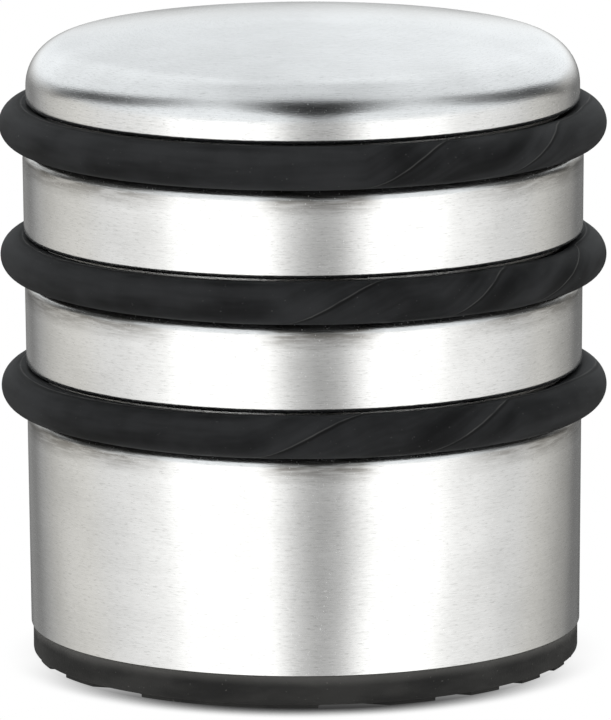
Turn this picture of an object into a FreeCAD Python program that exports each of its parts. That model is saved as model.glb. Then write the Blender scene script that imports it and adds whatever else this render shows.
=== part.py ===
"""Weighted floor door stop: a drawn steel shell with three rubber rings, filled with ballast.

Millimetres, +Z up. The origin is the centre of the footprint, on the floor. -Y is the front.
Every piece is round about +Z, except the ribs under the sole, which are straight.
"""
import FreeCAD, Part
import math
import os

# ---- overall ----
overall_height = 80.2          # floor to the top of the crown
shell_radius = 35.0            # outside of the wall, at the upper ring
wall_draft = 0.0092            # the wall closes in by this much per mm going down

# ---- shell ----
sheet = 0.5                    # thickness of the drawn steel
crown_radius = 187.0           # gentle dome of the top
shoulder_radius = 5.8          # round between the top and the wall
brow_setback = 0.5             # the wall above the upper ring stands in by this much
upper_lip_inside = 0.2         # inner round where the sheet turns into a groove, above the ring
lower_lip_inside = 1.5         # the same below the ring, where the groove runs out more gently
foot_height = 4.2              # the shell's lower edge, above the floor

# ---- rings, from the top down ----
ring_names = ["ring_upper", "ring_middle", "ring_lower"]
ring_thickness = 5.6           # diameter of the rubber's own section
ring_stand_out = 3.0           # how far a ring reaches past the wall at the upper ring
upper_ring_drop = 12.9         # top of the crown to the middle of the upper ring
ring_pitch = 16.56             # from one ring to the next
ring_clearance = 0.1           # between a ring and its groove

# ---- rubber sole ----
sole_setback = 0.25            # the sole's side stands in from the shell's foot by this much
sole_edge = 0.15               # bevel round the sole's upper edge
spigot_height = 1.0            # the round that locates the sole inside the foot
spigot_clearance = 0.15
rib_height = 0.45
rib_width = 4.0
rib_pitch = 8.0
rib_offset = 1.7               # from the centre to the middle of the nearest rib, towards the front
rib_turn = 17.0                # degrees, from the front towards -X

# ---- base plate and its bond ----
bond_thickness = 0.2
bond_setback = 0.5             # the bond stops this far inside the spigot's edge
plate_thickness = 1.5
plate_clearance = 0.15

# ---- ballast ----
fill_clearance = 0.15          # the mortar shrinks away from the steel by this much
weight_radius = 24.0
weight_height = 42.0
weight_edge = 2.0              # cast round of the weight's edges
weight_cover = 9.0             # mortar between the base plate and the weight
weight_clearance = 0.1

lip_radii = {1: upper_lip_inside + sheet, -1: lower_lip_inside + sheet}    # above and below a ring
groove_radius = ring_thickness / 2 + ring_clearance
ring_heights = [overall_height - upper_ring_drop - i * ring_pitch for i in range(len(ring_names))]
ring_middle_radius = shell_radius + ring_stand_out - ring_thickness / 2


def point(radius, height):
    return FreeCAD.Vector(radius, 0, height)


def towards(centre, target, distance):
    """The point at a distance from centre, on the way to target."""
    return centre + (target - centre).normalize() * distance


def line(start, end):
    return Part.LineSegment(start, end).toShape()


def arc(centre, start, end):
    """The short arc about centre from start to end."""
    middle = towards(centre, (start + end) * 0.5, (start - centre).Length)
    return Part.Arc(start, middle, end).toShape()


def revolve(edges):
    """Solid of revolution of a closed half section in the XZ plane."""
    face = Part.Face(Part.Wire(Part.__sortEdges__(edges)))
    return face.revolve(FreeCAD.Vector(0, 0, 0), FreeCAD.Vector(0, 0, 1), 360)


def cylinder(radius, height, foot):
    return Part.makeCylinder(radius, height, FreeCAD.Vector(0, 0, foot))


def wall_radius(height, inset=0):
    """Radius of the drafted wall at a height, moved inwards by inset, square to the wall."""
    outside = shell_radius - wall_draft * (ring_heights[0] - height)
    return outside - inset * math.hypot(1, wall_draft)


foot_bore = wall_radius(foot_height, sheet)
spigot_radius = foot_bore - spigot_clearance
bond_foot = foot_height + spigot_height
plate_foot = bond_foot + bond_thickness
fill_foot = plate_foot + plate_thickness
weight_foot = fill_foot + weight_cover


def lip(ring_height, side):
    """The round above (side 1) or below (side -1) a groove: its centre, and the way out to the wall."""
    lip_radius = lip_radii[side]
    if side > 0 and ring_height == ring_heights[0]:
        radius = shell_radius - brow_setback - lip_radius
        rise = math.sqrt((groove_radius + lip_radius) ** 2 - (ring_middle_radius - radius) ** 2)
        return point(radius, ring_height + rise), FreeCAD.Vector(1, 0, 0)
    height = ring_height
    for _ in range(4):    # the wall leans so little that this settles at once
        radius = wall_radius(height, lip_radius)
        rise = math.sqrt((groove_radius + lip_radius) ** 2 - (ring_middle_radius - radius) ** 2)
        height = ring_height + side * rise
    return point(radius, height), FreeCAD.Vector(1, 0, -wall_draft).normalize()


def groove_edges(ring_height, inset, below):
    """Outline of one groove with both lips, from the point below it, and the point where it ends."""
    middle = point(ring_middle_radius, ring_height)
    low, low_out = lip(ring_height, -1)
    high, high_out = lip(ring_height, 1)
    start = low + low_out * (lip_radii[-1] - inset)
    end = high + high_out * (lip_radii[1] - inset)
    low_turn = towards(middle, low, groove_radius + inset)
    high_turn = towards(middle, high, groove_radius + inset)
    deepest = point(ring_middle_radius - groove_radius - inset, ring_height)
    groove = Part.Arc(low_turn, deepest, high_turn).toShape()
    return [line(below, start), arc(low, start, low_turn), groove, arc(high, high_turn, end)], end


def shell_outline(foot, inset):
    """Outline from the foot up the wall, through the grooves and over the shoulder to the axis."""
    edges = []
    here = point(wall_radius(foot, inset), foot)
    for ring_height in reversed(ring_heights):
        groove, here = groove_edges(ring_height, inset, here)
        edges += groove
    crown_centre = point(0, overall_height - crown_radius)
    shoulder_reach = shell_radius - brow_setback - shoulder_radius
    rise = math.sqrt((crown_radius - shoulder_radius) ** 2 - shoulder_reach ** 2)
    shoulder = point(shoulder_reach, crown_centre.z + rise)
    shoulder_foot = shoulder + point(shoulder_radius - inset, 0)
    crown_edge = towards(crown_centre, shoulder, crown_radius - inset)
    edges += [line(here, shoulder_foot),
              arc(shoulder, shoulder_foot, crown_edge),
              arc(crown_centre, crown_edge, point(0, overall_height - inset))]
    return edges


def build_shell():
    """Drawn steel cup, one sheet thick, open at the foot."""
    foot = line(point(wall_radius(foot_height), foot_height), point(foot_bore, foot_height))
    crown = line(point(0, overall_height), point(0, overall_height - sheet))
    return revolve(shell_outline(foot_height, 0) + shell_outline(foot_height, sheet) + [foot, crown])


def build_ring(height):
    """Rubber ring of round section, as it lies stretched in its groove."""
    return Part.makeTorus(ring_middle_radius, ring_thickness / 2, FreeCAD.Vector(0, 0, height))


def weight_form(clearance):
    """The cast slug with rounded rims, or the pocket that it leaves in the mortar."""
    slug = cylinder(weight_radius + clearance, weight_height + 2 * clearance, weight_foot - clearance)
    rims = [edge for edge in slug.Edges if isinstance(edge.Curve, Part.Circle)]
    return slug.makeFillet(weight_edge, rims)


def build_iron_weight():
    """Cast iron slug, thin enough to pass the grooves' inner beads."""
    return weight_form(0)


def build_mortar_fill():
    """Mortar cast inside the shell, round the weight, down to the base plate."""
    inset = sheet + fill_clearance
    floor = line(point(0, fill_foot), point(wall_radius(fill_foot, inset), fill_foot))
    axis = line(point(0, overall_height - inset), point(0, fill_foot))
    return revolve([floor] + shell_outline(fill_foot, inset) + [axis]).cut(weight_form(weight_clearance))


def build_base_plate():
    """Steel disc between the fill and the sole."""
    return cylinder(foot_bore - plate_clearance, plate_thickness, plate_foot)


def build_sole_adhesive():
    """Film that bonds the sole to the base plate."""
    return cylinder(spigot_radius - bond_setback, bond_thickness, bond_foot)


def build_rubber_sole():
    """Rubber disc under the foot, with a locating spigot above and straight ribs below."""
    radius = wall_radius(foot_height) - sole_setback
    disc = cylinder(radius, foot_height, 0)
    upper_rim = [edge for edge in disc.Edges if edge.BoundBox.ZMin > foot_height / 2]
    sole = disc.makeChamfer(sole_edge, upper_rim).fuse(cylinder(spigot_radius, spigot_height, foot_height))
    gap_width = rib_pitch - rib_width
    steps = math.ceil(radius / rib_pitch) + 1
    gaps = []
    for step in range(-steps, steps):
        front_edge = rib_offset + rib_width / 2 + step * rib_pitch + gap_width
        gap = Part.makeBox(4 * radius, gap_width, 2 * rib_height)
        gap.translate(FreeCAD.Vector(-2 * radius, -front_edge, -rib_height))
        gap.rotate(FreeCAD.Vector(0, 0, 0), FreeCAD.Vector(0, 0, 1), -rib_turn)
        gaps.append(gap)
    return sole.cut(gaps)


pieces = {
    "shell": build_shell(),
    "iron_weight": build_iron_weight(),
    "mortar_fill": build_mortar_fill(),
    "base_plate": build_base_plate(),
    "sole_adhesive": build_sole_adhesive(),
    "rubber_sole": build_rubber_sole(),
}
for name, height in zip(ring_names, ring_heights):
    pieces[name] = build_ring(height)

os.makedirs("parts", exist_ok=True)
for name, shape in pieces.items():
    shape.exportStep(f"parts/{name}.step")
    box = shape.BoundBox
    print(f"{name:14s} valid {shape.isValid()} solids {len(shape.Solids)} volume {shape.Volume:9.1f} "
          f"radius {box.XMax:6.2f} height {box.ZMin:6.2f} to {box.ZMax:6.2f}")
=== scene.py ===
# %% [markdown]
# # A weighted door stop
#
# The stop is a cup of brushed stainless steel, filled with ballast, that stands on a ribbed rubber
# sole. Three black rubber rings lie in grooves that are rolled into its wall, and take the knock of
# the door. The engineering model already holds every piece at its right place, so the scene is
# built round it: visible pieces get a finer mesh inside the same box, and hidden ones a finish only.
#
# ## The frame
#
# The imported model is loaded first. Its box is kept, because nothing may grow out of it.

import math

import bpy
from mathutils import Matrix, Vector


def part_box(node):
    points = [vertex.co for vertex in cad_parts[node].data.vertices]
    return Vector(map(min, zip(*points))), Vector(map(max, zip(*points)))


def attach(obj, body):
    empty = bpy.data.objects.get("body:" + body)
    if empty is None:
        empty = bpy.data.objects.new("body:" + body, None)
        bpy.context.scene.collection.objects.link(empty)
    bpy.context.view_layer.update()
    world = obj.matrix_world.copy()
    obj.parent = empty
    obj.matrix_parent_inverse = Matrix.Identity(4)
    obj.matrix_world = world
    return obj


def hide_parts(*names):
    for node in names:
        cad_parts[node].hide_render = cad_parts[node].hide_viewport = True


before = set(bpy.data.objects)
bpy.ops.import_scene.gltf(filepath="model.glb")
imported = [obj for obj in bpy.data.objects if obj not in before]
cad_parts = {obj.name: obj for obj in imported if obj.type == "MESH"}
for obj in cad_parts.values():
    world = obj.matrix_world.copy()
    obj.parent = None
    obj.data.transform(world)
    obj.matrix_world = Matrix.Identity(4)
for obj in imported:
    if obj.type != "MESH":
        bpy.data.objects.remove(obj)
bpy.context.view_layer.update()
print("nodes:", ", ".join(sorted(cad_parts)))

# %% [markdown]
# ## Sizes
#
# Heights and the rings' sizes can be read from the frame, so they are never typed twice. What a box
# doesn't tell, such as the radius of a bend in the sheet, is named here, in millimetres.

# %% Sizes
mm = 0.001

ring_names = ["upper", "middle", "lower"]
ring_boxes = [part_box(f"ring_{name}") for name in ring_names]
ring_heights = [(low.z + high.z) / 2 for low, high in ring_boxes]
ring_thickness = ring_boxes[0][1].z - ring_boxes[0][0].z
ring_reach = ring_boxes[0][1].x
ring_middle_radius = ring_reach - ring_thickness / 2

shell_low, shell_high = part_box("shell")
foot_height = shell_low.z
overall_height = shell_high.z

ring_stand_out = 3.0 * mm        # how far the rings reach past the wall
shell_radius = ring_reach - ring_stand_out
wall_draft = 0.0092              # the wall closes in by this share going down
sheet = 0.5 * mm                 # thickness of the drawn steel
crown_radius = 187 * mm          # gentle dome of the top
shoulder_radius = 5.8 * mm       # round between the top and the wall
brow_setback = 0.5 * mm          # the wall above the upper ring stands in by this much
lip_radii = {1: 0.7 * mm, -1: 2.0 * mm}    # outer rounds into a groove, above and below a ring
groove_radius = ring_thickness / 2 + 0.1 * mm

print("rings at", [round(height / mm, 2) for height in ring_heights], "mm, wall radius",
      round(shell_radius / mm, 2), "mm, height", round(overall_height / mm, 2), "mm")

# %% [markdown]
# ## Helpers for modelling
#
# Every new piece starts as a primitive with nothing else selected, because an operator acts on all
# that is selected. Edges and faces are then picked by their place, as a hand would pick them.

# %% Start a piece, pick by place, apply a modifier
def start_piece(name, add, **settings):
    """Adds one primitive, applies its place and opens it in edit mode."""
    bpy.ops.object.select_all(action="DESELECT")
    add(**settings)
    piece = bpy.context.active_object
    piece.name = piece.data.name = name
    bpy.ops.object.transform_apply(location=True, rotation=True, scale=True)
    bpy.ops.object.mode_set(mode="EDIT")
    return piece


def pick_faces(piece, wanted):
    """Selects only the faces for which wanted(face) is true, and counts them."""
    bpy.ops.mesh.select_mode(type="FACE")
    bpy.ops.mesh.select_all(action="DESELECT")
    bpy.ops.object.mode_set(mode="OBJECT")
    picked = 0
    for face in piece.data.polygons:
        face.select = wanted(face)
        picked += face.select
    bpy.ops.object.mode_set(mode="EDIT")
    return picked


def modify(piece, kind, **settings):
    """Gives the piece a modifier and applies it."""
    bpy.context.view_layer.objects.active = piece
    modifier = piece.modifiers.new(kind.title(), kind)
    for name, value in settings.items():
        setattr(modifier, name, value)
    bpy.ops.object.modifier_apply(modifier=modifier.name)


def close_piece(piece, smooth_below):
    """Leaves edit mode and shades the piece smooth across all edges flatter than an angle."""
    bpy.ops.object.mode_set(mode="OBJECT")
    bpy.ops.object.select_all(action="DESELECT")
    piece.select_set(True)
    bpy.context.view_layer.objects.active = piece
    bpy.ops.object.shade_smooth_by_angle(angle=math.radians(smooth_below))
    print(piece.name, "faces:", len(piece.data.polygons))


# %% [markdown]
# ## The shell's outline
#
# The real shell is deep-drawn: a press pushes a flat disc into a die until it is a cup, and rollers
# then press the three grooves into the wall. Half of its section is a line from the foot up to the
# middle of the crown. It could be a list of points, but it is made of arcs with known radii, so the
# few radii above describe all of it, and the bends stay round at any size.

# %% Half section of the shell
def arc(centre_radius, centre_height, radius, begin, end, steps):
    """Points (radius, height) along an arc. Angles are in degrees, from outwards towards up."""
    turns = [math.radians(begin + (end - begin) * step / steps) for step in range(steps + 1)]
    return [(centre_radius + radius * math.cos(turn), centre_height + radius * math.sin(turn))
            for turn in turns]


def wall_radius(height):
    return shell_radius - wall_draft * (ring_heights[0] - height)


def lip(ring_height, side):
    """Centre of the lip above (1) or below (-1) a ring, and the angle at which the groove takes over."""
    height = ring_height
    lip_radius = lip_radii[side]
    for _ in range(4):           # the wall leans so little that this settles at once
        edge = wall_radius(height)
        if side > 0 and ring_height == ring_heights[0]:
            edge = shell_radius - brow_setback
        radius = edge - lip_radius
        rise = math.sqrt((groove_radius + lip_radius) ** 2 - (ring_middle_radius - radius) ** 2)
        height = ring_height + side * rise
    return radius, height, math.degrees(math.atan2(rise, ring_middle_radius - radius))


def groove_outline(ring_height):
    low_radius, low_height, low_turn = lip(ring_height, -1)
    high_radius, high_height, high_turn = lip(ring_height, 1)
    return (arc(low_radius, low_height, lip_radii[-1], 0, low_turn, 10)
            + arc(ring_middle_radius, ring_height, groove_radius, 180 + low_turn, 180 - high_turn, 12)[1:]
            + arc(high_radius, high_height, lip_radii[1], -high_turn, 0, 7)[1:])


def shell_outline():
    outline = [(wall_radius(foot_height), foot_height)]
    for ring_height in reversed(ring_heights):
        outline += groove_outline(ring_height)
    reach = shell_radius - brow_setback - shoulder_radius
    crown_centre = overall_height - crown_radius
    crown_turn = math.degrees(math.acos(reach / (crown_radius - shoulder_radius)))
    shoulder_height = crown_centre + (crown_radius - shoulder_radius) * math.sin(math.radians(crown_turn))
    outline += arc(reach, shoulder_height, shoulder_radius, 0, crown_turn, 16)
    outline += arc(0, crown_centre, crown_radius, crown_turn, 90, 16)[1:-1]
    return outline


print("points in the shell's outline:", len(shell_outline()))

# %% [markdown]
# ## The drawn shell
#
# The outline could be spun about the axis in one go. Here a circle at the foot is walked up instead:
# each step extrudes the open rim, lifts it and resizes it to the next radius. The rim is always
# selected, nothing has to be merged along a seam, and only the last ring closes at the apex. The
# sheet gets its thickness from Solidify, which grows inwards, and a small bevel breaks the cut edge.

# %% Walk an outline up from a circle
rings_round = 224                # steps round the axis


def walk_rim(outline):
    """Extrudes the selected rim through the points (radius, height) of an outline."""
    radius, height = outline[0]
    for next_radius, next_height in outline[1:]:
        bpy.ops.mesh.extrude_region_move(TRANSFORM_OT_translate={"value": (0, 0, next_height - height)})
        share = next_radius / radius
        bpy.ops.transform.resize(value=(share, share, 1), center_override=(0, 0, next_height))
        radius, height = next_radius, next_height


def make_shell():
    outline = shell_outline()
    radius, height = outline[0]
    shell = start_piece("drawn_shell", bpy.ops.mesh.primitive_circle_add,
                        vertices=rings_round, radius=radius, location=(0, 0, height))
    walk_rim(outline)
    bpy.ops.mesh.extrude_region_move(
        TRANSFORM_OT_translate={"value": (0, 0, overall_height - outline[-1][1])})
    bpy.ops.mesh.merge(type="CENTER")
    bpy.ops.mesh.select_all(action="SELECT")
    bpy.ops.mesh.normals_make_consistent(inside=False)
    bpy.ops.object.mode_set(mode="OBJECT")
    modify(shell, "SOLIDIFY", thickness=sheet, offset=-1, use_even_offset=True)
    modify(shell, "BEVEL", width=0.12 * mm, segments=2, limit_method="ANGLE",
           angle_limit=math.radians(60))
    close_piece(shell, 40)
    return shell


shell = make_shell()

# %% [markdown]
# ## The bumper rings
#
# A rubber ring is moulded with a round section, and where the two halves of the mould meet it keeps
# two thin flash lines. Rolled over the shell, the ring twists, so that the lines climb across it in
# slants and unwind again round the back. A plain torus can't show that. A circle curve can: its
# section is a flat curve with the two ridges, and each point of the circle has a tilt that turns the
# section there. The plans below say where the first flash line sits: degrees round from the front,
# then degrees round the section, from outwards towards up. A ring pulled on by hand is also
# stretched unevenly, so a second set of plans makes it a few percent thinner in places. There it has
# some play, and it lies low in its groove on the right and high on the left.

# %% Plans of the rings
flash_plans = {
    "upper": [(-150, -60), (-60, -78), (-20, -74), (12, -70), (32, 108), (40, 113), (62, 285), (82, 292),
              (140, 190)],
    "middle": [(-150, -40), (-60, -84), (-25, -76), (-4, -70), (19, 108), (27, 113), (44, 288), (49, 293),
               (75, 462), (100, 440), (150, 250)],
    "lower": [(-150, -60), (-60, -90), (-25, -78), (-10, -70), (14, 106), (21, 112), (45, 284), (65, 290),
              (140, 190)],
}
thickness_plans = {              # share of the full thickness, by degrees round from the front
    "upper": [(-120, 0.97), (-40, 0.97), (0, 0.985), (45, 0.96), (65, 0.94), (100, 0.96)],
    "middle": [(-120, 0.96), (-75, 0.95), (-30, 0.94), (5, 0.975), (25, 0.97), (38, 0.955), (42, 0.985),
               (62, 0.93), (100, 0.95)],
    "lower": [(-120, 0.97), (-60, 0.955), (-30, 0.955), (5, 0.98), (30, 0.98), (44, 0.985), (60, 0.94),
              (100, 0.96)],
}


def along_plan(plan, degrees):
    """Value of a plan at an angle, in a straight line between its entries, closed round the back."""
    first, last = plan[0], plan[-1]
    around = [(last[0] - 360, last[1])] + plan + [(first[0] + 360, first[1])]
    for (begin, low), (end, high) in zip(around, around[1:]):
        if begin <= degrees <= end:
            return low + (high - low) * (degrees - begin) / (end - begin)
    return first[1]


# %% A ring's section
flash_rise = 0.045 * mm          # how far the flash lines stand proud
circle_cuts = 23                 # new points in each quarter of a ring's circle
section_points = 48
flash_spacing = 22               # points of the section from the first flash line to the second
section_radius = ring_thickness / 2 - flash_rise


def make_section():
    """The rubber's round section, with its two flash ridges, as a closed flat curve."""
    section = start_piece("section", bpy.ops.mesh.primitive_circle_add,
                          vertices=section_points, radius=section_radius)
    bpy.ops.object.mode_set(mode="OBJECT")
    for ridge in (0, flash_spacing):
        corner = section.data.vertices[ridge]
        corner.co *= (section_radius + flash_rise) / section_radius
    bpy.ops.object.convert(target="CURVE")
    return bpy.context.active_object


# %% Sweep the rings
def make_ring(name, height, section):
    """A bumper ring: a circle curve with the section swept along it, turned as its plan says."""
    bpy.ops.object.select_all(action="DESELECT")
    bpy.ops.curve.primitive_bezier_circle_add(radius=ring_middle_radius, location=(0, 0, height))
    ring = bpy.context.active_object
    ring.name = ring.data.name = f"bumper_ring_{name}"
    bpy.ops.object.mode_set(mode="EDIT")
    bpy.ops.curve.select_all(action="SELECT")
    bpy.ops.curve.subdivide(number_cuts=circle_cuts)
    bpy.ops.object.mode_set(mode="OBJECT")
    ring.data.twist_mode = "Z_UP"
    ring.data.resolution_u = 3
    ring.data.bevel_mode = "OBJECT"
    ring.data.bevel_object = section
    for point in ring.data.splines[0].bezier_points:
        degrees = math.degrees(math.atan2(point.co.x, -point.co.y))
        turn = along_plan(flash_plans[name], degrees)
        point.tilt = math.radians(turn - 90)
        point.radius = along_plan(thickness_plans[name], degrees)
        play = (1 - point.radius) * ring_thickness / 2
        for handle in (point.co, point.handle_left, point.handle_right):
            handle.z -= play * math.sin(math.radians(degrees))
    bpy.ops.object.convert(target="MESH")
    bpy.ops.object.transform_apply(location=True, rotation=True, scale=True)
    bpy.ops.object.mode_set(mode="EDIT")
    bpy.ops.mesh.select_all(action="SELECT")
    bpy.ops.mesh.normals_make_consistent(inside=False)
    close_piece(ring, 60)
    return ring


section = make_section()
rings = {name: make_ring(name, height, section) for name, height in zip(ring_names, ring_heights)}
bpy.data.objects.remove(section)

# %% [markdown]
# ## The ribbed sole
#
# The sole is one moulding: a disc that fills the foot, a low spigot that finds its place inside the
# shell, and straight ribs below that grip the floor. The disc is walked up like the shell, starting
# with the round of its lower edge. Its flat underside is then cut into strips with bisect, and every
# second strip is extruded down to the floor. That leaves the ribs' ends running out at the round, as
# a mould does.

# %% Sizes of the sole
sole_low, sole_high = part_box("rubber_sole")
sole_radius = wall_radius(foot_height) - 0.25 * mm
sole_edge = 0.15 * mm            # bevel of its upper edge
tread_round = 0.5 * mm           # round of its lower edge, above the ribs
spigot_radius = wall_radius(foot_height) - sheet - 0.15 * mm
rib_height = 0.45 * mm
rib_width = 4.0 * mm
rib_pitch = 8.0 * mm
rib_offset = 1.7 * mm            # from the centre to the middle of the nearest rib, towards the front
rib_turn = math.radians(17)      # the ribs' way across, from the front towards the left

across = Vector((-math.sin(rib_turn), -math.cos(rib_turn), 0))


def rib_share(place):
    """How far a place lies across the ribs, in pitches from the edge of a rib."""
    return (place.dot(across) - rib_offset + rib_width / 2) / rib_pitch


# %% Make the sole
def is_underside(face):
    return face.normal.z < -0.995


def is_rib(face):
    return is_underside(face) and rib_share(face.center) % 1 < rib_width / rib_pitch


def make_sole():
    tread_radius = sole_radius - tread_round
    tread = sole_low.z + rib_height
    sole = start_piece("ribbed_sole", bpy.ops.mesh.primitive_circle_add, vertices=rings_round,
                       radius=tread_radius, fill_type="NOTHING", location=(0, 0, tread))
    walk_rim(arc(tread_radius, tread + tread_round, tread_round, -90, 0, 4)
             + [(sole_radius, foot_height - sole_edge),
                (sole_radius - sole_edge, foot_height),
                (spigot_radius, foot_height),
                (spigot_radius, sole_high.z - sole_edge),
                (spigot_radius - sole_edge, sole_high.z)])
    bpy.ops.mesh.edge_face_add()
    bpy.ops.mesh.select_mode(type="EDGE")
    bpy.ops.mesh.select_all(action="DESELECT")
    bpy.ops.mesh.select_non_manifold()
    bpy.ops.mesh.edge_face_add()
    bpy.ops.mesh.select_all(action="SELECT")
    bpy.ops.mesh.normals_make_consistent(inside=False)
    steps = math.ceil(sole_radius / rib_pitch) + 1
    for step in range(-steps, steps):
        for edge in (0, rib_width):
            pick_faces(sole, is_underside)
            distance = rib_offset - rib_width / 2 + step * rib_pitch + edge
            if abs(distance) < sole_radius:
                bpy.ops.mesh.bisect(plane_co=across * distance, plane_no=across)
    ribs = pick_faces(sole, is_rib)
    bpy.ops.mesh.extrude_region_move(TRANSFORM_OT_translate={"value": (0, 0, -rib_height)})
    bpy.ops.object.mode_set(mode="OBJECT")
    modify(sole, "BEVEL", width=0.1 * mm, segments=2, limit_method="ANGLE",
           angle_limit=math.radians(40))
    close_piece(sole, 35)
    print("ribs:", ribs)
    return sole


sole = make_sole()

# %% [markdown]
# ## Shader maths in plain Python
#
# A finish is a small program of nodes. Written out node by node it can't be read, so one class wraps
# a socket and lets Python's own signs add the Math nodes. Everything else comes from its `add`.

# %% The signal class
class Signal:
    """What comes out of one socket. Sums of signals and numbers add Math nodes to the tree."""

    def __init__(self, tree, socket=None):
        self.tree = tree
        self.socket = socket

    def add(self, kind, settings=None, inputs=None, output=0):
        """Adds a node of any kind: its settings first, then numbers or signals for its sockets."""
        node = self.tree.nodes.new(kind)
        for name, value in (settings or {}).items():
            if name == "stops":
                set_stops(node.color_ramp, value)
            else:
                setattr(node, name, value)
        for name, value in (inputs or {}).items():
            if isinstance(value, Signal):
                self.tree.links.new(value.socket, node.inputs[name])
            else:
                node.inputs[name].default_value = value
        return Signal(self.tree, node.outputs[output] if node.outputs else None)

    def maths(self, operation, *values, clamp=False):
        settings = {"operation": operation, "use_clamp": clamp}
        return self.add("ShaderNodeMath", settings, dict(enumerate(values)))

    def __add__(self, other):
        return self.maths("ADD", self, other)

    def __sub__(self, other):
        return self.maths("SUBTRACT", self, other)

    def __rsub__(self, other):
        return self.maths("SUBTRACT", other, self)

    def __mul__(self, other):
        return self.maths("MULTIPLY", self, other)

    def __truediv__(self, other):
        return self.maths("DIVIDE", self, other)

    def __pow__(self, other):
        return self.maths("POWER", self, other)

    __radd__ = __add__
    __rmul__ = __mul__


def set_stops(ramp, stops):
    """Fills a colour ramp from pairs of a position and a grey value or a colour."""
    while len(ramp.elements) < len(stops):
        ramp.elements.new(1)
    for element, (position, value) in zip(ramp.elements, stops):
        element.position = position
        element.color = (value, value, value, 1) if isinstance(value, (int, float)) else (*value, 1)


# %% Words that the finishes share
def new_finish(name):
    """A material with an empty tree, and the signal that its nodes are added from."""
    material = bpy.data.materials.new(name)
    material.use_nodes = True
    material.node_tree.nodes.clear()
    return material, Signal(material.node_tree)


def object_place(paint):
    return paint.add("ShaderNodeTexCoord", output="Object")


def parts_of(paint, vector):
    """The x, y and z of a vector."""
    split = {"Vector": vector}
    return [paint.add("ShaderNodeSeparateXYZ", inputs=split, output=axis) for axis in "XYZ"]


def joined(paint, x, y, z):
    return paint.add("ShaderNodeCombineXYZ", inputs={"X": x, "Y": y, "Z": z})


def grain(paint, place, size, detail=2.0, roughness=0.5):
    """Noise from 0 to 1 whose spots are about one size across, in metres."""
    return paint.add("ShaderNodeTexNoise",
                     inputs={"Vector": place, "Scale": 1 / size, "Detail": detail, "Roughness": roughness})


def between(paint, value, low, high, out_low=0.0, out_high=1.0):
    """Runs smoothly from out_low to out_high while the value goes from low to high."""
    return paint.add("ShaderNodeMapRange", {"interpolation_type": "SMOOTHSTEP"},
                     {"Value": value, "From Min": low, "From Max": high, "To Min": out_low,
                      "To Max": out_high})


def planned(paint, where, plan, low, high):
    """Reads a plan of (place, value) pairs where a signal says. Low and high bound its values."""
    begin, end = plan[0][0], plan[-1][0]
    stops = [((place - begin) / (end - begin), (value - low) / (high - low)) for place, value in plan]
    ramp = paint.add("ShaderNodeValToRGB", {"stops": stops}, {"Fac": (where - begin) / (end - begin)})
    return ramp * (high - low) + low


def blend(paint, share, colour, other):
    """Mixes two colours: all of the first at 0, all of the other at 1."""
    def solid(value):
        return value if isinstance(value, Signal) else (*value, 1)
    return paint.add("ShaderNodeMix", {"data_type": "RGBA"}, {0: share, 6: solid(colour), 7: solid(other)},
                     output=2)


def bump(paint, height, depth):
    """Normal of a surface whose height signal, from 0 to 1, stands for a depth in metres."""
    return paint.add("ShaderNodeBump", inputs={"Strength": 1.0, "Distance": depth, "Height": height})


def surface(paint, **sockets):
    """Ends a finish: one Principled shader, its sockets named with underscores, and the output."""
    inputs = {name.replace("_", " "): value for name, value in sockets.items()}
    shader = paint.add("ShaderNodeBsdfPrincipled", inputs=inputs, output="BSDF")
    paint.add("ShaderNodeOutputMaterial", inputs={"Surface": shader})


# %% [markdown]
# ## Brushed stainless steel
#
# The shell is brushed on a lathe, so its lines run round the axis everywhere: level on the wall and in
# circles on the crown. A brushed metal spreads its reflections across the lines and keeps them tight
# along them, which is what anisotropy does. The lines themselves are noise, drawn out round the
# axis: `across` counts the way over wall, shoulder and crown in one go, so that the lines never
# change direction or break at the bend. Small dark pits and bright specks break up the grey.
#
# Just below each ring the steel looks dark. In part that is the ring, mirrored where the sheet rolls
# into its groove, and the mesh gives that by itself. The rest is painted shade, a darker colour in
# streaks along the brushing: one plan sets its height, and a second one, across the front, leaves
# two bright stretches beside the middle nearly free of it.

# %% Steel
shade_under_rings_across = [                # distance from the middle of the front, and strength of the painted shade
    (0, 1), (5 * mm, 1), (8 * mm, 0.05), (17 * mm, 0.05), (23 * mm, 0.9), (40 * mm, 1)]
shade_under_rings_up = []                   # height, and strength of the painted shade
for height in reversed(ring_heights):
    shade_under_rings_up += [(height - 6.2 * mm, 0), (height - 4.0 * mm, 1), (height, 1), (height + 0.1 * mm, 0)]


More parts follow.
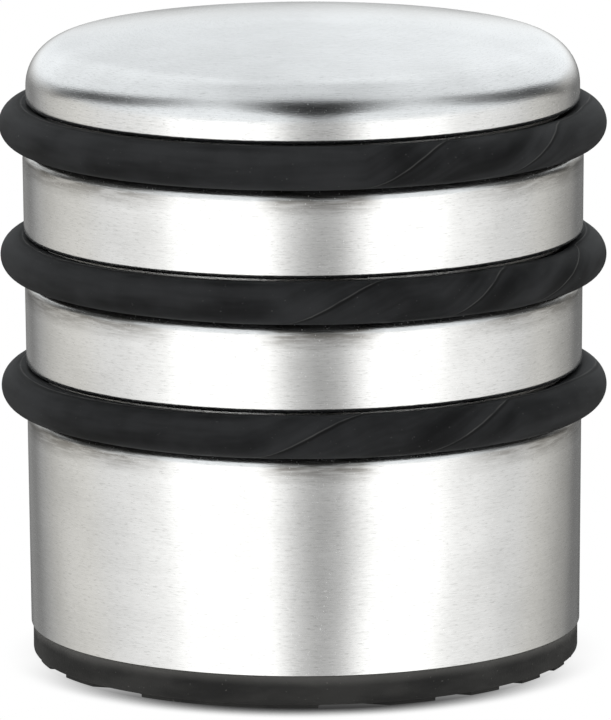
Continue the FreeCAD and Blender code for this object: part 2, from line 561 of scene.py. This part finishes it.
def brushed_steel():
    material, paint = new_finish("brushed_steel")
    place = object_place(paint)
    x, y, z = parts_of(paint, place)
    radius = (x * x + y * y) ** 0.5
    across = z - radius

    def drawn_out(length, gap, detail):
        """Noise with spots of one length along the brushing and one gap across it."""
        stretched = joined(paint, x / length, y / length, across / gap)
        return paint.add("ShaderNodeTexNoise",
                         inputs={"Vector": stretched, "Scale": 1.0, "Detail": detail, "Roughness": 0.6})

    lines = drawn_out(5 * mm, 0.10 * mm, 2.0)
    flecks = drawn_out(0.9 * mm, 0.14 * mm, 2.0)
    smudges = grain(paint, place, 9 * mm, 3.0)
    sparks = between(paint, grain(paint, place, 0.17 * mm, 0.0), 0.78, 0.84)
    pits = between(paint, flecks, 0.33, 0.39, 1.0, 0.0)
    tone = 0.3 * lines + 0.3 * flecks + 0.4 * smudges
    colour = blend(paint, between(paint, tone, 0.35, 0.65), (0.635, 0.635, 0.632), (0.75, 0.75, 0.75))
    colour = blend(paint, pits * 0.45, colour, (0.48, 0.48, 0.475))
    off_middle = paint.maths("ABSOLUTE", x - 2.0 * mm)
    streaks = between(paint, drawn_out(5 * mm, 0.5 * mm, 3.0), 0.35, 0.62, 0.45, 0.95)
    # Painted shade under each ring: the steel is darkened in streaks below each groove.
    painted_shade_under_rings = planned(paint, z, shade_under_rings_up, 0, 1) * planned(paint, off_middle, shade_under_rings_across, 0, 1)
    colour = blend(paint, painted_shade_under_rings * streaks, colour, (0.20, 0.19, 0.175))
    colour = blend(paint, sparks * 0.5, colour, (0.92, 0.92, 0.92))
    roughness = 0.17 + 0.05 * (lines - 0.5) + 0.06 * (smudges - 0.5) + 0.15 * sparks
    height = 0.3 * lines + 0.7 * flecks
    surface(paint, Base_Color=colour, Metallic=1.0, Roughness=roughness, Anisotropic=0.35,
            Anisotropic_Rotation=0.25, Normal=bump(paint, height, 0.010 * mm))
    return material


# %% [markdown]
# ## Rubber
#
# Black rubber is never quite black: it has a soft sheen, lighter patches that are partly a film of
# dust and partly painted sheen, and lighter lines where the flash was torn off, each with a dark line
# of painted shade beside it. The rings' pattern follows their own map, which runs along the ring one
# way and round its section the other, so the streaks twist with the ring. The sole has no lines; the
# upper part of its side is painted paler, as painted light from above.

# %% Ring rubber
def ring_rubber():
    material, paint = new_finish("ring_rubber")
    place = object_place(paint)
    map_place = paint.add("ShaderNodeTexCoord", output="UV")
    along, round_section, _ = parts_of(paint, map_place)

    def line_at(share, width):
        """1 on a flash line, down to 0 at a distance of width, in shares of the section."""
        distance = paint.maths("PINGPONG", round_section - share, 0.5)
        return between(paint, distance, 0.0, width, 1.0, 0.0)

    second = flash_spacing / section_points
    ridges = paint.maths("MAXIMUM", line_at(0.0, 0.010), line_at(second, 0.010))
    # Painted shade: a dark line beside each flash ridge.
    shade_beside_ridges = paint.maths("MAXIMUM", line_at(0.982, 0.022), line_at(second - 0.018, 0.022))
    tears = grain(paint, joined(paint, along * 60, round_section * 4, 0.0), 1.0, 3.0)
    torn = between(paint, tears, 0.35, 0.6)
    streaks = grain(paint, joined(paint, along * 11, round_section * 5, 0.0), 1.0, 3.0)
    cloud = grain(paint, place, 7 * mm, 3.0)
    fine = grain(paint, place, 0.25 * mm, 2.0)
    dust = between(paint, grain(paint, place, 0.30 * mm, 1.0), 0.76, 0.81)
    # Lighter patches: partly a film of dust, partly painted sheen.
    bloom_and_sheen = between(paint, 0.6 * streaks + 0.4 * cloud, 0.32, 0.68)
    shade = blend(paint, bloom_and_sheen, (0.005, 0.0053, 0.0056), (0.028, 0.029, 0.0305))
    shade = blend(paint, shade_beside_ridges * 0.8, shade, (0.004, 0.004, 0.004))
    shade = blend(paint, ridges * (0.25 + 0.5 * torn), shade, (0.075, 0.075, 0.073))
    shade = blend(paint, dust * 0.5, shade, (0.14, 0.14, 0.135))
    height = 0.15 * fine + 0.25 * streaks + 0.6 * ridges
    surface(paint, Base_Color=shade, Roughness=0.65 + 0.2 * (cloud - 0.5), Specular_IOR_Level=0.09,
            Normal=bump(paint, height, 0.04 * mm))
    return material


# %% Sole rubber
def sole_rubber():
    material, paint = new_finish("sole_rubber")
    place = object_place(paint)
    x, y, z = parts_of(paint, place)
    cloud = grain(paint, joined(paint, x, y, z * 3), 9 * mm, 3.0)
    fine = grain(paint, place, 0.3 * mm, 2.0)
    dust = between(paint, grain(paint, place, 0.4 * mm, 1.0), 0.72, 0.80)
    shade = blend(paint, between(paint, cloud, 0.3, 0.7), (0.012, 0.0118, 0.0115), (0.034, 0.0335, 0.032))
    # Painted light: the top of the sole's side is made paler, as if lit from above.
    painted_light_on_top = between(paint, z + 0.6 * mm * cloud, 3.0 * mm, 4.5 * mm)
    shade = blend(paint, painted_light_on_top * 0.7, shade, (0.12, 0.118, 0.112))
    shade = blend(paint, dust * 0.5, shade, (0.15, 0.145, 0.135))
    surface(paint, Base_Color=shade, Roughness=0.62 + 0.15 * (cloud - 0.5), Specular_IOR_Level=0.15,
            Normal=bump(paint, fine, 0.03 * mm))
    return material


# %% [markdown]
# ## What the shell hides
#
# The ballast can't be seen while the stop is whole, but it shows as soon as somebody takes the model
# apart. The pieces keep their own meshes and get the finish that each has on the bench.

# %% Cast iron, mortar, plate and adhesive
def cast_iron():
    """Dark iron with the coarse skin that the sand mould leaves, and a little rust."""
    material, paint = new_finish("cast_iron")
    place = object_place(paint)
    sand = grain(paint, place, 0.7 * mm, 4.0, 0.65)
    patches = grain(paint, place, 9 * mm, 3.0)
    rust = between(paint, patches, 0.55, 0.72)
    colour = blend(paint, sand, (0.10, 0.098, 0.095), (0.21, 0.205, 0.20))
    colour = blend(paint, rust * 0.7, colour, (0.22, 0.10, 0.045))
    surface(paint, Base_Color=colour, Metallic=0.9 - 0.7 * rust, Roughness=0.55 + 0.25 * sand,
            Normal=bump(paint, sand, 0.12 * mm))
    return material


def cement_mortar():
    """Grey mortar: fine sand, darker damp patches, and the pits of air bubbles, darkened as painted shade.
    """
    material, paint = new_finish("cement_mortar")
    place = object_place(paint)
    sand = grain(paint, place, 0.5 * mm, 3.0, 0.7)
    damp = grain(paint, place, 12 * mm, 2.0)
    bubbles = paint.add("ShaderNodeTexVoronoi", inputs={"Vector": place, "Scale": 1 / (3.5 * mm)},
                        output="Distance")
    pits = between(paint, bubbles, 0.08, 0.2, 1.0, 0.0)
    colour = blend(paint, 0.6 * sand + 0.4 * damp, (0.28, 0.27, 0.255), (0.55, 0.54, 0.51))
    # Painted shade: the bubble pits are darkened.
    colour = blend(paint, pits * 0.6, colour, (0.16, 0.155, 0.15))
    surface(paint, Base_Color=colour, Roughness=0.9 - 0.1 * sand,
            Normal=bump(paint, sand * 0.4 - pits, 0.2 * mm))
    return material


def rolled_plate():
    """Plain mill sheet: long straight rolling lines one way."""
    material, paint = new_finish("rolled_plate")
    x, y, z = parts_of(paint, object_place(paint))
    lines = grain(paint, joined(paint, x * 0.02, y, z), 0.3 * mm, 3.0)
    oil = grain(paint, joined(paint, x, y, z), 8 * mm, 2.0)
    colour = blend(paint, 0.6 * lines + 0.4 * oil, (0.42, 0.42, 0.42), (0.58, 0.575, 0.565))
    surface(paint, Base_Color=colour, Metallic=1.0, Roughness=0.38 + 0.2 * (oil - 0.5),
            Normal=bump(paint, lines, 0.01 * mm))
    return material


def contact_adhesive():
    """Dark, slightly glossy film with the strokes of the spreader."""
    material, paint = new_finish("contact_adhesive")
    x, y, z = parts_of(paint, object_place(paint))
    strokes = grain(paint, joined(paint, x * 0.15, y, z), 1.2 * mm, 2.0)
    colour = blend(paint, strokes, (0.05, 0.042, 0.03), (0.13, 0.115, 0.09))
    surface(paint, Base_Color=colour, Roughness=0.35 + 0.2 * strokes,
            Normal=bump(paint, strokes, 0.1 * mm))
    return material


# %% Put the finishes on
def finish_piece(piece, material, node=None):
    """Gives a piece its material slot and material. A new piece is also put under its body, and its CAD node
    is hidden.
    """
    piece.data.materials.clear()
    piece.data.materials.append(material)
    if node:
        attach(piece, "root")
        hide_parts(node)


finish_piece(shell, brushed_steel(), "shell")
finish_piece(sole, sole_rubber(), "rubber_sole")
bumper_rubber = ring_rubber()
for name, ring in rings.items():
    finish_piece(ring, bumper_rubber, f"ring_{name}")
finish_piece(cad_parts["iron_weight"], cast_iron())
finish_piece(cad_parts["mortar_fill"], cement_mortar())
finish_piece(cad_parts["base_plate"], rolled_plate())
finish_piece(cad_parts["sole_adhesive"], contact_adhesive())

# %% [markdown]
# ## The studio
#
# A steel cylinder is a mirror for the whole room, so most of its look is the room's. Real panels and
# dark flags could be set up, but each would be in the way of some camera. The world does the same
# without being in the way: only the rays of a reflection see it. Low down it has two bright lamps
# beside a dim middle, which give the wall its two white stripes. Higher up it is a pale ceiling. A
# dark flag lies between the two, bent round the stop, and is mirrored as the dark line on the
# shoulder. The lamps are dimmed above the horizon, so that the crown, seen from behind, stays
# darker than the background. For the camera and for soft light the world is plain white.

# %% Plans of the room
low_plan = [                     # degrees round from the front, towards +X, and brightness low down
    (-180, 0.12), (-166, 0.28), (-152, 0.24), (-140, 0.46), (-120, 0.76), (-80, 1.00), (-62, 1.22),
    (-52, 1.62), (-15, 1.62), (-4, 0.80), (6, 0.50), (15, 0.62), (29, 1.62), (56, 1.62), (66, 1.22),
    (90, 0.95), (118, 0.70), (134, 0.44), (142, 0.36), (152, 0.20), (164, 0.20), (180, 0.12)]
high_plan = [                    # degrees away from the dark flag's middle, and brightness high up
    (0, 0.60), (30, 0.78), (50, 0.92), (70, 1.00), (110, 1.06), (130, 1.10), (150, 1.16), (164, 1.16),
    (180, 0.96)]
flag_height = [                  # degrees from the middle, and degrees above the horizon
    (0, 35), (20, 40), (40, 40), (55, 35), (70, 31), (90, 21), (110, 14), (130, 4), (150, 1), (170, -1)]
flag_reach = [                   # degrees from the middle, and half the flag's width in degrees
    (0, 22), (30, 13), (50, 10), (70, 12), (90, 11), (110, 9), (130, 7), (180, 6)]
flag_depth = [                   # degrees from the middle, and how much light the flag takes
    (0, .97), (15, .93), (30, .50), (45, .12), (58, .25), (70, .60), (90, .86), (110, .90), (125, .75),
    (140, .30), (155, .00)]
flag_middle = 5                  # degrees round from the front
flag_lean = 3                    # degrees by which the flag is lower on the right, and higher on the left
zenith = 0.84                    # brightness straight above
warm_side = 122                  # degrees from the flag's middle where the light is warm


def make_studio():
    world = bpy.data.worlds.new("studio")
    bpy.context.scene.world = world
    world.use_nodes = True
    world.node_tree.nodes.clear()
    world.cycles.sampling_method = "NONE"
    paint = Signal(world.node_tree)
    x, y, z = parts_of(paint, paint.add("ShaderNodeTexCoord", output="Generated"))
    turn = paint.maths("ARCTAN2", x, 0 - y) * (180 / math.pi)
    rise = paint.maths("ARCSINE", z) * (180 / math.pi)
    side = paint.maths("ABSOLUTE", turn - flag_middle)
    above = rise - planned(paint, side, flag_height, -10, 50) + flag_lean * x
    dimmer = between(paint, rise, -3.0, 7.0, 1.7, 1.15)
    low = paint.maths("MINIMUM", planned(paint, turn, low_plan, 0, 2), dimmer)
    high = planned(paint, side, high_plan, 0, 2)
    level = low + (high - low) * between(paint, above, -7.0, 7.0)
    edge = paint.maths("ABSOLUTE", above) / planned(paint, side, flag_reach, 0, 30)
    level = level * (1 - planned(paint, side, flag_depth, 0, 1) * between(paint, edge, 0.55, 1.35, 1.0, 0.0))
    level = level + (zenith - level) * between(paint, rise, 60.0, 80.0)
    warmth = between(paint, paint.maths("ABSOLUTE", side - warm_side), 10.0, 30.0, 1.0, 0.0)
    warmth = warmth * between(paint, rise, 0.0, 10.0, 1.0, 0.0)
    cool = between(paint, rise, -4.0, 10.0)
    tint = blend(paint, warmth, blend(paint, cool, (1.0, 1.0, 0.985), (0.965, 1.0, 1.02)),
                 (1.02, 1.005, 0.955))
    path = {name: paint.add("ShaderNodeLightPath", output=f"Is {name} Ray")
            for name in ("Camera", "Diffuse")}
    plain = paint.maths("MAXIMUM", path["Camera"], path["Diffuse"])
    reflected = paint.add("ShaderNodeBackground", inputs={"Color": tint, "Strength": level})
    white = paint.add("ShaderNodeBackground", inputs={"Color": (1, 1, 1, 1), "Strength": 1.0})
    seen = paint.add("ShaderNodeMixShader", inputs={0: plain, 1: reflected, 2: white})
    paint.add("ShaderNodeOutputWorld", inputs={"Surface": seen})


make_studio()

# %% [markdown]
# ## The floor
#
# The floor is white paper, seen as pure white but for the thin shadow that the sole drops at its
# edge. The shadow is darkest where a point of the floor, looking up and towards the back, has most
# of its view blocked close by. From the front to the middle of the stop it fades to a tenth, and
# stays at that behind. Soft light bounces off the paper as off any pale floor, and reflections look
# through it, so that the steel shows the room down to its foot. From below it is clear, to leave the
# sole in view.

# %% Floor
def make_floor():
    floor = start_piece("floor", bpy.ops.mesh.primitive_plane_add, size=6.0, location=(0, 0, 0))
    bpy.ops.object.mode_set(mode="OBJECT")
    material, paint = new_finish("white_floor")
    near = paint.add("ShaderNodeAmbientOcclusion", {"samples": 24},
                     {"Distance": 5.5 * mm, "Normal": joined(paint, 0.0, 0.5, 0.87)}, output="AO")
    _, y, _ = parts_of(paint, object_place(paint))
    front = between(paint, y, -36 * mm, -4 * mm, 1.0, 0.1)
    left_over = 1 - front * (1 - between(paint, near, 0.25, 0.97, 0.03, 1.0))
    white = paint.add("ShaderNodeEmission", inputs={"Color": (1, 1, 1, 1), "Strength": left_over})
    paper = paint.add("ShaderNodeBsdfDiffuse", inputs={"Color": (0.85, 0.85, 0.85, 1)})
    clear = paint.add("ShaderNodeBsdfTransparent")
    path = {name: paint.add("ShaderNodeLightPath", output=f"Is {name} Ray")
            for name in ("Camera", "Glossy")}
    below = paint.add("ShaderNodeNewGeometry", output="Backfacing")
    seen = paint.add("ShaderNodeMixShader", inputs={0: path["Camera"], 1: paper, 2: white})
    open_way = paint.maths("MAXIMUM", path["Glossy"], below)
    seen = paint.add("ShaderNodeMixShader", inputs={0: open_way, 1: seen, 2: clear})
    paint.add("ShaderNodeOutputMaterial", inputs={"Surface": seen})
    floor.data.materials.append(material)


make_floor()

# %% [markdown]
# ## The camera
#
# The stop is seen from the front and a little above, through a long lens that keeps its sides nearly
# parallel. The camera is aimed with a direction and not with typed angles, so that the distance and
# the height of the view can be changed without aiming it again. It is held a little out of level.

# %% Camera
def make_camera():
    distance = 1193.5 * mm
    elevation = math.radians(10.78)
    tilt = math.radians(-0.292)
    aim = Vector((0, 0, 36.9 * mm))
    back = Vector((0, -math.cos(elevation), math.sin(elevation)))
    bpy.ops.object.select_all(action="DESELECT")
    bpy.ops.object.camera_add(location=aim + back * distance)
    camera = bpy.context.active_object
    camera.rotation_euler = (-back).to_track_quat("-Z", "Y").to_euler()
    camera.rotation_euler.rotate_axis("Z", tilt)
    camera.data.sensor_width = 36
    camera.data.lens = 477.05
    camera.data.shift_x = 0.0019
    camera.data.shift_y = 0.00125
    camera.data.clip_start = 0.05
    bpy.context.scene.camera = camera
    bpy.context.scene.view_settings.view_transform = "Standard"


make_camera()
